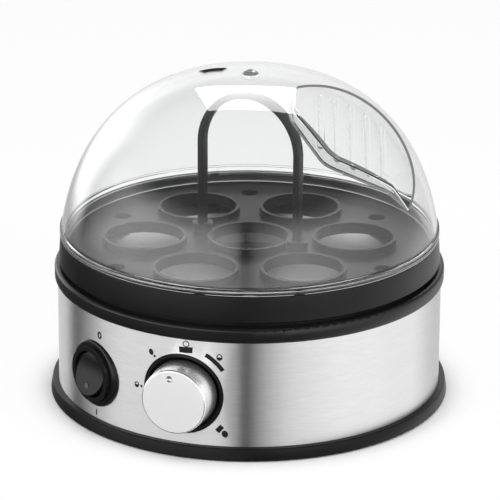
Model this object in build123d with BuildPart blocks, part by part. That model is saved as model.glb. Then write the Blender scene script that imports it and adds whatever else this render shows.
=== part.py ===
from build123d import *
import math
import os

# Electric egg cooker: a round steel-clad base with a heated water dish, a lift-out tray with seven
# seats and an arched handle, and a clear dome with a ribbed finger pocket.
# Sizes are in millimetres and angles in degrees. +Z is up and the front faces -Y. The origin is on
# the axis of the housing, at the level that the feet stand on.

# Base pan
base_radius = 88.0
foot_stand = 0.3
pan_floor = 3.1
pan_rim_height = 5.4
pan_rim_lean = 0.9
pan_rim_round = 0.5
lip_height = 3.0
lip_wall = 1.6
vent_count = 14
vent_circle = 46.0
vent_length = 15.0
vent_width = 2.6

# Steel band
pan_ledge = 3.6
steel_wall = 0.6
steel_height = 49.2
fit_gap = 0.1

# Top collar
collar_height = 6.8
collar_overhang = 1.3
collar_round = 1.6
deck_drop = 1.8
deck_wall = 2.0
skirt_depth = 3.0
skirt_wall = 2.0
tray_rib_inset = 3.0
tray_rib_wall = 2.0
tray_rib_height = 6.2
ledge_inset = 18.4

# Pillars and the screws that close the base
pillar_azimuths = (15, 105, 195, 285)
pillar_inset = 10.4
pillar_radius = 5.0
base_screw_radius = 1.6
base_screw_length = 12.0
base_screw_head_radius = 3.2
base_screw_head = 1.3
thread_gap = 0.05

# Feet
foot_azimuths = (60, 150, 240, 330)
foot_inset = 22.0
foot_radius = 7.0
foot_stem_radius = 2.4
foot_barb_radius = 3.2
foot_barb_height = 1.8

# Water dish and its seal
dish_sheet = 0.8
dish_slope = 7.0
dish_mouth_gap = 2.0
dish_flange = 9.0
dish_depth = 13.0
seal_height = 0.8
seal_width = 6.0

# Heating plate, element and what hangs from the plate
plate_inset = 5.0
plate_thickness = 2.7
element_inset = 16.0
element_tube = 3.3
element_leg = 2.7
element_sweep = 300
element_drop = 9.0
element_gap = 0.1
terminal_radius = 1.4
terminal_length = 8.0
bracket_azimuths = (60, 180, 300)
bracket_sheet = 1.0
bracket_width = 10.0
bracket_reach = 8.0
bracket_knee_inset = 5.0
bracket_foot = 4.0
boss_inset = 8.4
boss_radius = 4.0
boss_height = 8.0
small_screw_radius = 1.3
small_screw_length = 6.0
small_screw_head_radius = 2.6
small_screw_head = 1.6
safety_radius = 7.0
safety_height = 9.0
fuse_radius = 2.2
fuse_length = 14.0
fuse_offset = 20.0

# Dial: the recess in the band, the control behind it and the knob
dial_azimuth = 250.5
dial_height = 28.0
dial_opening = 18.0
dial_edge_gap = 0.15
dial_wall = 1.5
dial_flange = 3.0
dial_sink = 5.4
dial_floor_wall = 2.0
control_width = 26.0
control_tall = 22.0
control_depth = 14.0
control_shoulder = 8.0
control_shoulder_length = 15.0
bush_radius = 5.0
nut_thickness = 2.2
nut_across = 13.0
shaft_radius = 3.0
shaft_flat = 0.8
shaft_gap = 0.05
shaft_tail = 10.0
knob_front_radius = 14.3
knob_back_radius = 15.0
knob_stand = 16.0
knob_floor_gap = 3.3
knob_wall = 1.5
knob_round = 0.9
knob_hub_radius = 5.5
knob_hub_inset = 1.4
knob_bore_stop = 2.6
knob_dimple_radius = 1.7
knob_dimple_offset = 10.4
knob_dimple_angle = 100.0
hub_ring_wall = 0.6
hub_ring_width = 4.0
hub_ring_opening = 40.0

# Rocker switch
switch_azimuth = 218.3
switch_height = 26.2
bezel_radius = 15.0
bezel_flange_stand = 1.0
bezel_ring_radius = 12.4
bezel_ring_stand = 2.0
bezel_round = 1.4
bezel_neck_radius = 11.2
bezel_neck = 5.4
switch_bore = 10.3
housing_radius = 9.6
housing_set = 1.4
housing_length = 19.4
spade_width = 4.8
spade_sheet = 0.8
spade_length = 9.0
spade_pitch = 6.0
rocker_radius = 9.5
rocker_pivot_set = 1.8
rocker_back = 2.0
rocker_front = 1.9
rocker_tilt = 15.0
rocker_scoop_radius = 30.0
rocker_scoop_depth = 0.6
pin_radius = 1.2
pin_half_length = 12.0
lens_radius = 1.2
lens_offset = 5.6
lens_depth = 2.4

# Cord gland at the back
gland_height = 16.0
gland_bore = 3.4
gland_sleeve = 5.2
gland_tip = 4.7
gland_collar = 6.8
gland_collar_length = 2.0
gland_flange = 8.0
gland_flange_set = 1.2
gland_flange_wall = 2.0
gland_tail = 11.2

# Cord clamp, terminal block and sound board, on the floor of the pan
clamp_gap = 11.0
clamp_post_spacing = 20.0
clamp_post_radius = 3.6
clamp_post_height = 6.0
clamp_length = 28.0
clamp_width = 9.0
clamp_thickness = 3.0
block_length = 26.0
block_width = 14.0
block_height = 12.0
block_gap = 31.0
block_screw_pitch = 8.0
block_screw_bore = 2.0
block_screw_depth = 5.0
board_gap = 21.4
board_y = 14.0
board_length = 36.0
board_width = 32.0
board_sheet = 1.6
board_post_radius = 3.0
board_post_height = 5.0
board_post_inset = 4.0
buzzer_radius = 6.0
buzzer_height = 8.0
buzzer_hole = 1.5

# Tray
tray_gap = 1.6
tray_foot_inset = 0.6
tray_lean = 0.7
tray_band_height = 11.9
tray_wall = 1.8
tray_deck_wall = 2.0
tray_edge_round = 0.6
seat_circle = 46.0
seat_count = 6
seat_radius = 17.0
seat_wall = 1.6
seat_rise = 5.0
steam_hole_radius = 4.0
steam_hole_circle = 66.0
handle_azimuth = -30.0
handle_half_span = 24.0
handle_crown = 136.0
handle_thickness = 3.0
handle_width = 5.0
handle_boss_radius = 4.6
handle_boss_rise = 5.0
handle_edge_round = 0.9

# Lid: the dome is a superellipse turned about the axis
dome_inset = 0.13
dome_rise = 96.5
dome_foot = 48.1
dome_power = 2.437
dome_wall = 2.0
dome_points = 9
rim_proud = 0.2
rim_height = 3.4
rim_round = 0.4
spigot_wall = 1.6
spigot_depth = 4.0
spigot_gap = 0.6
nub_foot_radius = 4.0
nub_foot_rise = 0.9
nub_radius = 1.7
nub_rise = 2.3
nub_round = 0.6
vent_slot_x = -16.7
vent_slot_y = 10.2
vent_slot_curve = 14.0
vent_slot_arc = 36.0
vent_slot_width = 3.6

# Finger pocket: a flat floor that cuts the dome, and a leaning wall on the side of the middle.
# The outline is drawn on the floor: down its slope, then across, from the foot of its normal.
pocket_azimuth = -44.8
pocket_tilt = 48.0
pocket_distance = 121.2
pocket_outline = [(-94, 20), (-65, -8), (-41, -6), (-20.5, 17), (2, 24.5), (12, 60), (-82, 60)]
pocket_corner = 7.0
pocket_draft = 18.0
pocket_above = 14.0
pocket_bottom_round = 1.6
pocket_rib_count = 5
pocket_rib_first = 30.4
pocket_rib_pitch = 6.7
pocket_rib_width = 2.8
pocket_rib_height = 1.0
pocket_rib_start = 1.5

# Levels and radii that follow from the sizes above
steel_radius = base_radius - pan_ledge
tray_rib_radius = steel_radius - tray_rib_inset
ledge_radius = steel_radius - ledge_inset
pillar_circle = steel_radius - pillar_inset
boss_circle = steel_radius - boss_inset
foot_circle = base_radius - foot_inset
dish_mouth_radius = ledge_radius - dish_mouth_gap
dish_floor_radius = dish_mouth_radius - dish_slope
dish_flange_radius = dish_mouth_radius + dish_flange
seal_inner = dish_flange_radius - seal_width
plate_radius = dish_floor_radius - plate_inset
element_circle = plate_radius - element_inset
bracket_inner = plate_radius - bracket_reach
bracket_knee = boss_circle - bracket_knee_inset
bracket_outer = boss_circle + bracket_foot
dial_floor_reach = steel_radius - dial_sink
knob_face_reach = dial_floor_reach + knob_stand
knob_length = knob_stand - knob_floor_gap
bezel_flange_reach = steel_radius + bezel_flange_stand
bezel_reach = bezel_flange_reach + bezel_ring_stand
bezel_neck_reach = steel_radius - bezel_neck
housing_front = bezel_neck_reach + housing_set
rocker_pivot_reach = bezel_reach - rocker_pivot_set
gland_flange_reach = steel_radius - gland_flange_set
gland_tail_reach = gland_flange_reach - gland_tail
clamp_distance = gland_tail_reach - clamp_gap
block_distance = clamp_distance - block_gap
board_x = board_length / 2 + board_gap - steel_radius
dome_radius = steel_radius - dome_inset
tray_foot_radius = steel_radius - tray_foot_inset
tray_top_radius = tray_foot_radius - tray_lean
rim_radius = tray_top_radius + rim_proud
handle_spring_height = handle_crown - handle_thickness / 2 - handle_half_span
pan_bottom = foot_stand
pan_top = pan_bottom + pan_floor
rim_top = pan_bottom + pan_rim_height
steel_inner = steel_radius - steel_wall
lip_outer = steel_inner - fit_gap
steel_top = pan_top + steel_height
collar_top = steel_top + collar_height
deck_top = collar_top - deck_drop
deck_bottom = deck_top - deck_wall
tray_rib_top = collar_top + tray_rib_height
tray_foot = collar_top + tray_gap
tray_top = tray_foot + tray_band_height
tray_deck_bottom = tray_rib_top
tray_deck_top = tray_deck_bottom + tray_deck_wall
seal_top = deck_top + seal_height
dish_flange_top = seal_top + dish_sheet
dish_bottom = dish_flange_top - dish_depth
plate_bottom = dish_bottom - plate_thickness
element_level = plate_bottom - element_tube - element_gap
boss_bottom = deck_bottom - boss_height
dial_floor_back = dial_floor_reach - dial_floor_wall
control_front = dial_floor_back - control_shoulder_length
nut_front = dial_floor_reach + nut_thickness
knob_back = knob_face_reach - knob_length
shaft_end = knob_face_reach - knob_bore_stop
clamp_level = pan_top + clamp_post_height
board_level = pan_top + board_post_height
dome_crown = dome_foot + dome_rise
rim_top_level = tray_top + rim_height
spigot_outer = tray_top_radius - tray_wall - spigot_gap
spigot_inner = spigot_outer - spigot_wall
block_top = pan_top + block_height
board_top = board_level + board_sheet


def around(radius, azimuths):
    """Points on a circle about the axis."""
    return [(radius * math.cos(math.radians(a)), radius * math.sin(math.radians(a))) for a in azimuths]


def radial_plane(azimuth, height, reach=0.0):
    """A plane that faces outwards: its X runs along the wall, its Y up and its Z away from the axis."""
    x, y = around(1.0, (azimuth,))[0]
    return Plane(origin=(reach * x, reach * y, height), x_dir=(-y, x, 0), z_dir=(x, y, 0))


def upright_plane(azimuth):
    """An upright plane through the axis: its X is the distance from the axis and its Y the height."""
    x, y = around(1.0, (azimuth,))[0]
    return Plane(origin=(0, 0, 0), x_dir=(x, y, 0), z_dir=(y, -x, 0))


def turned(plane, x_turn, y_turn):
    """The same plane, turned where it stands about its own X and then its own Y."""
    return Plane(plane.location * Location((0, 0, 0), (x_turn, y_turn, 0)))


# The gland stands out at the back as far as the knob does in front, so the footprint is centred
knob_lean = math.radians(dial_azimuth - 270)
gland_reach = knob_face_reach * math.cos(knob_lean) + knob_front_radius * abs(math.sin(knob_lean))

rear_azimuth = 90.0
dial_plane = radial_plane(dial_azimuth, dial_height)
switch_plane = radial_plane(switch_azimuth, switch_height)
gland_plane = radial_plane(rear_azimuth, gland_height)
switch_axis = Axis(switch_plane.origin, switch_plane.z_dir)

# Base pan: floor, outer rim, the groove that the steel band stands in, and the posts on the floor
clamp_posts = [(-clamp_post_spacing / 2, clamp_distance), (clamp_post_spacing / 2, clamp_distance)]
board_post_x = board_length / 2 - board_post_inset
board_post_y = board_width / 2 - board_post_inset
board_posts = [(board_x + i * board_post_x, board_y + j * board_post_y) for i in (-1, 1) for j in (-1, 1)]
pan_outline = [
    (0, pan_bottom),
    (base_radius, pan_bottom),
    (base_radius - pan_rim_lean, rim_top),
    (steel_radius + fit_gap, rim_top),
    (steel_radius + fit_gap, pan_top),
    (lip_outer, pan_top),
    (lip_outer, pan_top + lip_height),
    (lip_outer - lip_wall, pan_top + lip_height),
    (lip_outer - lip_wall, pan_top),
    (0, pan_top),
]
with BuildPart() as base_pan:
    with BuildSketch(Plane.XZ) as pan_section:
        Polygon(*pan_outline, align=None)
        fillet(pan_section.vertices().sort_by(Axis.X)[-2:], radius=pan_rim_round)
    revolve(axis=Axis.Z)
    with BuildSketch(Plane.XY.offset(pan_top)):
        with Locations(*clamp_posts):
            Circle(clamp_post_radius)
    extrude(amount=clamp_post_height)
    with BuildSketch(Plane.XY.offset(pan_top)):
        with Locations(*board_posts):
            Circle(board_post_radius)
    extrude(amount=board_post_height)
    with BuildSketch(Plane.XY.offset(clamp_level)):
        with Locations(*clamp_posts):
            Circle(small_screw_radius + thread_gap)
    extrude(amount=clamp_thickness - small_screw_length, mode=Mode.SUBTRACT)
    with BuildSketch(Plane.XY.offset(board_level)):
        with Locations(*board_posts):
            Circle(small_screw_radius + thread_gap)
    extrude(amount=board_sheet - small_screw_length, mode=Mode.SUBTRACT)
    with BuildSketch(Plane.XY.offset(pan_bottom)):
        with PolarLocations(vent_circle, vent_count):
            SlotOverall(vent_length, vent_width)
    extrude(amount=pan_floor, mode=Mode.SUBTRACT)
    with BuildSketch(Plane.XY.offset(pan_bottom)):
        with Locations(*around(foot_circle, foot_azimuths)):
            Circle(foot_stem_radius + fit_gap)
        with Locations(*around(pillar_circle, pillar_azimuths)):
            Circle(base_screw_radius + fit_gap)
    extrude(amount=pan_floor, mode=Mode.SUBTRACT)
    with BuildSketch(Plane.XY.offset(pan_bottom)):
        with Locations(*around(pillar_circle, pillar_azimuths)):
            Circle(base_screw_head_radius + fit_gap)
    extrude(amount=base_screw_head, mode=Mode.SUBTRACT)

# Rubber feet, each pushed through the pan and held by the barb on its stem
with BuildPart() as rubber_feet:
    with BuildSketch():
        with Locations(*around(foot_circle, foot_azimuths)):
            Circle(foot_radius)
    extrude(amount=foot_stand)
    with BuildSketch():
        with Locations(*around(foot_circle, foot_azimuths)):
            Circle(foot_stem_radius)
    extrude(amount=pan_top + foot_barb_height)
    with BuildSketch(Plane.XY.offset(pan_top)):
        with Locations(*around(foot_circle, foot_azimuths)):
            Circle(foot_barb_radius)
    extrude(amount=foot_barb_height, taper=18)

# Screws that pull the pan up against the pillars of the collar
with BuildPart() as base_screws:
    with BuildSketch(Plane.XY.offset(pan_bottom)):
        with Locations(*around(pillar_circle, pillar_azimuths)):
            Circle(base_screw_head_radius)
    extrude(amount=base_screw_head)
    with BuildSketch(Plane.XY.offset(pan_bottom)):
        with Locations(*around(pillar_circle, pillar_azimuths)):
            Circle(base_screw_radius)
    extrude(amount=base_screw_length)
    with BuildSketch(Plane.XY.offset(pan_bottom)):
        with Locations(*around(pillar_circle, pillar_azimuths)):
            Rectangle(base_screw_head_radius * 1.3, 0.8)
            Rectangle(0.8, base_screw_head_radius * 1.3)
    extrude(amount=base_screw_head * 0.6, mode=Mode.SUBTRACT)

# Brushed steel band, with round openings for the dial, the switch and the gland
with BuildPart() as steel_band:
    with BuildSketch(Plane.XY.offset(pan_top)):
        Circle(steel_radius)
        Circle(steel_inner, mode=Mode.SUBTRACT)
    extrude(amount=steel_height)
    with BuildSketch(dial_plane):
        Circle(dial_opening)
    extrude(amount=base_radius, mode=Mode.SUBTRACT)
    with BuildSketch(switch_plane):
        Circle(bezel_neck_radius + fit_gap)
    extrude(amount=base_radius, mode=Mode.SUBTRACT)
    with BuildSketch(gland_plane):
        Circle(gland_sleeve + fit_gap)
    extrude(amount=base_radius, mode=Mode.SUBTRACT)

# Top collar: the visible black ring, the deck inside it, the rib that the tray stands on, and pillars
collar_outline = [
    (ledge_radius, deck_bottom),
    (lip_outer - skirt_wall, deck_bottom),
    (lip_outer - skirt_wall, steel_top - skirt_depth),
    (lip_outer, steel_top - skirt_depth),
    (lip_outer, steel_top),
    (steel_radius + collar_overhang, steel_top),
    (steel_radius + collar_overhang, collar_top),
    (tray_rib_radius, collar_top),
    (tray_rib_radius, tray_rib_top),
    (tray_rib_radius - tray_rib_wall, tray_rib_top),
    (tray_rib_radius - tray_rib_wall, deck_top),
    (ledge_radius, deck_top),
]
with BuildPart() as top_collar:
    with BuildSketch(Plane.XZ) as collar_section:
        Polygon(*collar_outline, align=None)
        fillet(collar_section.vertices().sort_by(Axis.X)[-2:], radius=collar_round)
    revolve(axis=Axis.Z)
    with BuildSketch(Plane.XY.offset(pan_top)):
        with Locations(*around(pillar_circle, pillar_azimuths)):
            Circle(pillar_radius)
    extrude(amount=deck_bottom - pan_top)
    with BuildSketch(Plane.XY.offset(boss_bottom)):
        with Locations(*around(boss_circle, bracket_azimuths)):
            Circle(boss_radius)
    extrude(amount=boss_height)
    with BuildSketch(Plane.XY.offset(pan_top)):
        with Locations(*around(pillar_circle, pillar_azimuths)):
            Circle(base_screw_radius + thread_gap)
    extrude(amount=base_screw_length - pan_floor + 1.0, mode=Mode.SUBTRACT)
    with BuildSketch(Plane.XY.offset(boss_bottom)):
        with Locations(*around(boss_circle, bracket_azimuths)):
            Circle(small_screw_radius + thread_gap)
    extrude(amount=small_screw_length - bracket_sheet + 0.5, mode=Mode.SUBTRACT)

# Seal between the collar's ledge and the flange of the dish
with BuildPart() as dish_seal:
    with BuildSketch(Plane.XY.offset(deck_top)):
        Circle(dish_flange_radius)
        Circle(seal_inner, mode=Mode.SUBTRACT)
    extrude(amount=seal_height)

# Water dish, pressed from sheet
dish_outline = [
    (0, dish_bottom),
    (dish_floor_radius, dish_bottom),
    (dish_mouth_radius, seal_top),
    (dish_flange_radius, seal_top),
    (dish_flange_radius, dish_flange_top),
    (dish_mouth_radius - dish_sheet, dish_flange_top),
    (dish_floor_radius - dish_sheet, dish_bottom + dish_sheet),
    (0, dish_bottom + dish_sheet),
]
with BuildPart() as water_dish:
    with BuildSketch(Plane.XZ):
        Polygon(*dish_outline, align=None)
    revolve(axis=Axis.Z)

# Heating plate under the dish
with BuildPart() as heating_plate:
    with BuildSketch(Plane.XY.offset(plate_bottom)):
        Circle(plate_radius)
    extrude(amount=plate_thickness)

# Tubular element: most of a ring under the plate, with a leg down from each end
element_start = 90 + (360 - element_sweep) / 2
leg_turn = math.degrees(element_tube / element_circle)
element_legs = around(element_circle, (element_start + leg_turn, element_start + element_sweep - leg_turn))
with BuildPart() as heating_element:
    with BuildSketch(upright_plane(element_start)):
        with Locations((element_circle, element_level)):
            Circle(element_tube)
    revolve(axis=Axis.Z, revolution_arc=element_sweep)
    with BuildSketch(Plane.XY.offset(element_level)):
        with Locations(*element_legs):
            Circle(element_leg)
    extrude(amount=-element_drop)

with BuildPart() as element_terminals:
    with BuildSketch(Plane.XY.offset(element_level - element_drop)):
        with Locations(*element_legs):
            Circle(terminal_radius)
    extrude(amount=-terminal_length)

# Sheet brackets that hold the plate up against the dish
bracket_outline = [
    (bracket_inner, plate_bottom - bracket_sheet),
    (bracket_knee, plate_bottom - bracket_sheet),
    (bracket_knee, boss_bottom - bracket_sheet),
    (bracket_outer, boss_bottom - bracket_sheet),
    (bracket_outer, boss_bottom),
    (bracket_knee - bracket_sheet, boss_bottom),
    (bracket_knee - bracket_sheet, plate_bottom),
    (bracket_inner, plate_bottom),
]
with BuildPart() as plate_brackets:
    for azimuth in bracket_azimuths:
        with BuildSketch(upright_plane(azimuth)):
            Polygon(*bracket_outline, align=None)
        extrude(amount=bracket_width / 2, both=True)
    with BuildSketch(Plane.XY.offset(boss_bottom)):
        with Locations(*around(boss_circle, bracket_azimuths)):
            Circle(small_screw_radius + fit_gap)
    extrude(amount=-bracket_sheet, mode=Mode.SUBTRACT)

with BuildPart() as bracket_screws:
    with BuildSketch(Plane.XY.offset(boss_bottom - bracket_sheet)):
        with Locations(*around(boss_circle, bracket_azimuths)):
            Circle(small_screw_head_radius)
    extrude(amount=-small_screw_head)
    with BuildSketch(Plane.XY.offset(boss_bottom - bracket_sheet)):
        with Locations(*around(boss_circle, bracket_azimuths)):
            Circle(small_screw_radius)
    extrude(amount=small_screw_length)

# Safety cut-out under the middle of the plate, with its two tags
with BuildPart() as safety_cutout:
    with BuildSketch(Plane.XY.offset(plate_bottom)):
        Circle(safety_radius)
    extrude(amount=-safety_height)
    with BuildSketch(Plane.XY.offset(plate_bottom - safety_height)):
        with Locations((-spade_pitch / 2, 0), (spade_pitch / 2, 0)):
            Rectangle(spade_sheet, spade_width)
    extrude(amount=-spade_length / 2)

# Thermal fuse, lying under the plate inside the element's ring
with BuildPart() as thermal_fuse:
    with BuildSketch(Plane.YZ.offset(-fuse_length / 2)):
        with Locations((-fuse_offset, plate_bottom - fuse_radius - element_gap)):
            Circle(fuse_radius)
    extrude(amount=fuse_length)

# Dial recess: a black cup set in the band, open to the front, with a flange behind the steel
with BuildPart() as dial_recess:
    with BuildSketch(dial_plane.offset(dial_floor_back)):
        Circle(dial_opening + dial_flange)
    extrude(amount=base_radius - dial_floor_back)
    with BuildSketch(Plane.XY):
        Circle(lip_outer)
    extrude(amount=steel_top, mode=Mode.INTERSECT)
    with BuildSketch(dial_plane.offset(dial_floor_back)):
        Circle(dial_opening - dial_edge_gap)
    extrude(amount=steel_inner - dial_floor_back - 1.0)
with BuildPart() as dial_lip:
    with BuildSketch(dial_plane.offset(dial_floor_back)):
        Circle(dial_opening - dial_edge_gap)
    extrude(amount=base_radius - dial_floor_back)
    with BuildSketch(Plane.XY):
        Circle(steel_radius - dial_edge_gap)
    extrude(amount=steel_top, mode=Mode.INTERSECT)
with dial_recess:
    add(dial_lip.part)
    with BuildSketch(dial_plane.offset(dial_floor_reach)):
        Circle(dial_opening - dial_edge_gap - dial_wall)
    extrude(amount=base_radius - dial_floor_reach, mode=Mode.SUBTRACT)
    with BuildSketch(dial_plane.offset(dial_floor_back)):
        Circle(bush_radius + fit_gap)
    extrude(amount=dial_floor_wall, mode=Mode.SUBTRACT)

# Hardness control: a boxed thermostat held to the floor of the recess by its bush and nut
with BuildPart() as hardness_control:
    with BuildSketch(dial_plane.offset(control_front)):
        Rectangle(control_width, control_tall)
    extrude(amount=-control_depth)
    with BuildSketch(dial_plane.offset(control_front)):
        Circle(control_shoulder)
    extrude(amount=control_shoulder_length)
    with BuildSketch(dial_plane.offset(dial_floor_back)):
        Circle(bush_radius)
    extrude(amount=nut_front + 0.6 - dial_floor_back)
    with BuildSketch(dial_plane.offset(control_front - shaft_tail - shaft_gap)):
        Circle(shaft_radius + shaft_gap)
    extrude(amount=base_radius, mode=Mode.SUBTRACT)
    with BuildSketch(dial_plane.offset(control_front - control_depth)):
        with Locations((-spade_pitch, 0), (spade_pitch, 0)):
            Rectangle(spade_sheet, spade_width)
    extrude(amount=-spade_length)

with BuildPart() as bush_nut:
    with BuildSketch(dial_plane.offset(dial_floor_reach)):
        RegularPolygon(nut_across / 2, 6, major_radius=False)
        Circle(bush_radius + thread_gap, mode=Mode.SUBTRACT)
    extrude(amount=nut_thickness)

# Control shaft, with a flat where the knob grips it
with BuildPart() as control_shaft:
    with BuildSketch(dial_plane.offset(control_front - shaft_tail)):
        Circle(shaft_radius)
    extrude(amount=shaft_end - control_front + shaft_tail)
    with BuildSketch(dial_plane.offset(knob_back)):
        with Locations((0, -2 * shaft_radius + shaft_flat)):
            Rectangle(2 * shaft_radius, 2 * shaft_radius)
    extrude(amount=knob_length, mode=Mode.SUBTRACT)

# Knob: a hollow cap with a hub, a keyed bore and a dimple that points at the scale
with BuildPart() as knob_cap:
    with BuildSketch(dial_plane.offset(knob_back)):
        Circle(knob_back_radius)
    with BuildSketch(dial_plane.offset(knob_face_reach)):
        Circle(knob_front_radius)
    loft()
    fillet(knob_cap.edges().filter_by(GeomType.CIRCLE).sort_by(SortBy.RADIUS)[0], radius=knob_round)
    with BuildSketch(dial_plane.offset(knob_back)):
        Circle(knob_front_radius - knob_wall)
        Circle(knob_hub_radius, mode=Mode.SUBTRACT)
    extrude(amount=knob_length - knob_wall, mode=Mode.SUBTRACT)
    with BuildSketch(dial_plane.offset(knob_back)):
        Circle(knob_hub_radius)
    extrude(amount=knob_hub_inset, mode=Mode.SUBTRACT)
    with BuildSketch(dial_plane.offset(knob_back)):
        Circle(shaft_radius + shaft_gap)
        with Locations((0, -2 * shaft_radius + shaft_flat - shaft_gap)):
            Rectangle(2 * shaft_radius + 1, 2 * shaft_radius, mode=Mode.SUBTRACT)
    extrude(amount=shaft_end + shaft_gap - knob_back, mode=Mode.SUBTRACT)
    dimple = around(knob_dimple_offset, (knob_dimple_angle,))[0]
    dimple_plane = dial_plane.offset(knob_face_reach + knob_dimple_radius * 0.5)
    with Locations(dimple_plane.from_local_coords(Vector(dimple[0], dimple[1], 0))):
        Sphere(knob_dimple_radius, mode=Mode.SUBTRACT)

# Spring ring that squeezes the knob's hub onto the shaft
with BuildPart() as knob_hub_ring:
    with BuildSketch(dial_plane.offset(knob_back + knob_hub_inset)):
        Circle(knob_hub_radius + hub_ring_wall)
        Circle(knob_hub_radius + shaft_gap, mode=Mode.SUBTRACT)
        opening = math.radians(hub_ring_opening / 2)
        far = 2 * knob_hub_radius
        Polygon((0, 0), (far, far * math.tan(opening)), (far, -far * math.tan(opening)), align=None,
                mode=Mode.SUBTRACT)
    extrude(amount=hub_ring_width)

# Switch bezel: a flange that follows the band, a raised ring and a neck through the steel
with BuildPart() as switch_bezel:
    with BuildSketch(switch_plane.offset(steel_inner - bezel_radius / 4)):
        Circle(bezel_radius)
    extrude(amount=bezel_flange_reach - steel_inner + bezel_radius / 4)
    fillet(switch_bezel.edges().sort_by(switch_axis)[-1], radius=bezel_round)
    with BuildSketch(Plane.XY):
        Circle(steel_radius + fit_gap)
    extrude(amount=steel_top, mode=Mode.SUBTRACT)
    with BuildSketch(switch_plane.offset(bezel_neck_reach)):
        Circle(bezel_neck_radius)
    extrude(amount=bezel_flange_reach - bezel_neck_reach)
    with BuildSketch(switch_plane.offset(bezel_flange_reach)):
        Circle(bezel_ring_radius)
    extrude(amount=bezel_reach - bezel_flange_reach)
    with BuildSketch(switch_plane.offset(housing_front)):
        Circle(switch_bore)
    extrude(amount=bezel_reach - housing_front, mode=Mode.SUBTRACT)
    with BuildSketch(switch_plane.offset(bezel_neck_reach)):
        Circle(housing_radius + fit_gap)
    extrude(amount=housing_front - bezel_neck_reach, mode=Mode.SUBTRACT)

    with BuildSketch(turned(switch_plane.offset(rocker_pivot_reach), 0, 90)):
        Circle(pin_radius + thread_gap)
    extrude(amount=pin_half_length + fit_gap, both=True, mode=Mode.SUBTRACT)

# Switch housing behind the bezel, with two spade terminals
with BuildPart() as switch_housing:
    with BuildSketch(switch_plane.offset(housing_front)):
        Circle(housing_radius)
    extrude(amount=-housing_length)
    with BuildSketch(switch_plane.offset(housing_front - housing_length)):
        with Locations((-spade_pitch / 2, 0), (spade_pitch / 2, 0)):
            Rectangle(spade_sheet, spade_width)
    extrude(amount=-spade_length)

# Rocker: a round button with a hollowed face, at rest with its upper half pushed in
rocker_plane = turned(switch_plane.offset(rocker_pivot_reach), -rocker_tilt, 0)
lens_crown = rocker_front - rocker_scoop_depth + rocker_scoop_radius - math.sqrt(
    rocker_scoop_radius ** 2 - lens_offset ** 2)
with BuildPart() as rocker_button:
    with BuildSketch(rocker_plane.offset(-rocker_back)):
        Circle(rocker_radius)
    extrude(amount=rocker_back + rocker_front)
    with BuildSketch(turned(rocker_plane, 0, 90)):
        with Locations((-rocker_front + rocker_scoop_depth - rocker_scoop_radius, 0)):
            Circle(rocker_scoop_radius)
    extrude(amount=rocker_radius, both=True, mode=Mode.SUBTRACT)
    with BuildSketch(turned(rocker_plane, 0, 90)):
        Circle(pin_radius)
    extrude(amount=pin_half_length, both=True)
    with BuildSketch(rocker_plane.offset(lens_crown - lens_depth)):
        with Locations((0, -lens_offset)):
            Circle(lens_radius)
    extrude(amount=2 * lens_depth, mode=Mode.SUBTRACT)

with BuildPart() as rocker_lens:
    with BuildSketch(rocker_plane.offset(lens_crown - lens_depth)):
        with Locations((0, -lens_offset)):
            Circle(lens_radius)
    extrude(amount=lens_depth + fit_gap)

# Gland that the cord comes in through
gland_outline = [
    (gland_bore, gland_tail_reach),
    (gland_tip, gland_tail_reach),
    (gland_tip, gland_flange_reach - gland_flange_wall),
    (gland_flange, gland_flange_reach - gland_flange_wall),
    (gland_flange, gland_flange_reach),
    (gland_sleeve, gland_flange_reach),
    (gland_sleeve, steel_radius + fit_gap),
    (gland_collar, steel_radius + fit_gap),
    (gland_collar, steel_radius + fit_gap + gland_collar_length),
    (gland_tip, gland_reach),
    (gland_bore, gland_reach),
]
with BuildPart() as cord_gland:
    with BuildSketch(Plane(origin=(0, 0, gland_height), x_dir=(1, 0, 0), z_dir=(0, 0, 1))):
        Polygon(*gland_outline, align=None)
    revolve(axis=Axis((0, 0, gland_height), (0, 1, 0)))

# Clamp that holds the cord to the floor of the pan
with BuildPart() as cord_clamp:
    with BuildSketch(Plane.XY.offset(clamp_level)):
        with Locations((0, clamp_distance)):
            SlotOverall(clamp_length, clamp_width)
        with Locations(*clamp_posts):
            Circle(small_screw_radius + fit_gap, mode=Mode.SUBTRACT)
    extrude(amount=clamp_thickness)

with BuildPart() as clamp_screws:
    with BuildSketch(Plane.XY.offset(clamp_level + clamp_thickness)):
        with Locations(*clamp_posts):
            Circle(small_screw_head_radius)
    extrude(amount=small_screw_head)
    with BuildSketch(Plane.XY.offset(clamp_level + clamp_thickness)):
        with Locations(*clamp_posts):
            Circle(small_screw_radius)
    extrude(amount=-small_screw_length)

with BuildPart() as terminal_block:
    with BuildSketch(Plane.XY.offset(pan_top)):
        with Locations((0, block_distance)):
            Rectangle(block_length, block_width)
    extrude(amount=block_height)
    with BuildSketch(Plane.XY.offset(block_top)):
        with Locations(*[(i * block_screw_pitch, block_distance) for i in (-1, 0, 1)]):
            Circle(block_screw_bore)
    extrude(amount=-block_screw_depth, mode=Mode.SUBTRACT)

# Sound board on four posts, and the buzzer that tells when the water is gone
with BuildPart() as sound_board:
    with BuildSketch(Plane.XY.offset(board_level)):
        with Locations((board_x, board_y)):
            Rectangle(board_length, board_width)
        with Locations(*board_posts):
            Circle(small_screw_radius + fit_gap, mode=Mode.SUBTRACT)
    extrude(amount=board_sheet)

with BuildPart() as sound_buzzer:
    with BuildSketch(Plane.XY.offset(board_top)):
        with Locations((board_x, board_y)):
            Circle(buzzer_radius)
    extrude(amount=buzzer_height)
    with BuildSketch(Plane.XY.offset(board_top + buzzer_height)):
        with Locations((board_x, board_y)):
            Circle(buzzer_hole)
    extrude(amount=-buzzer_height / 2, mode=Mode.SUBTRACT)

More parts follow.
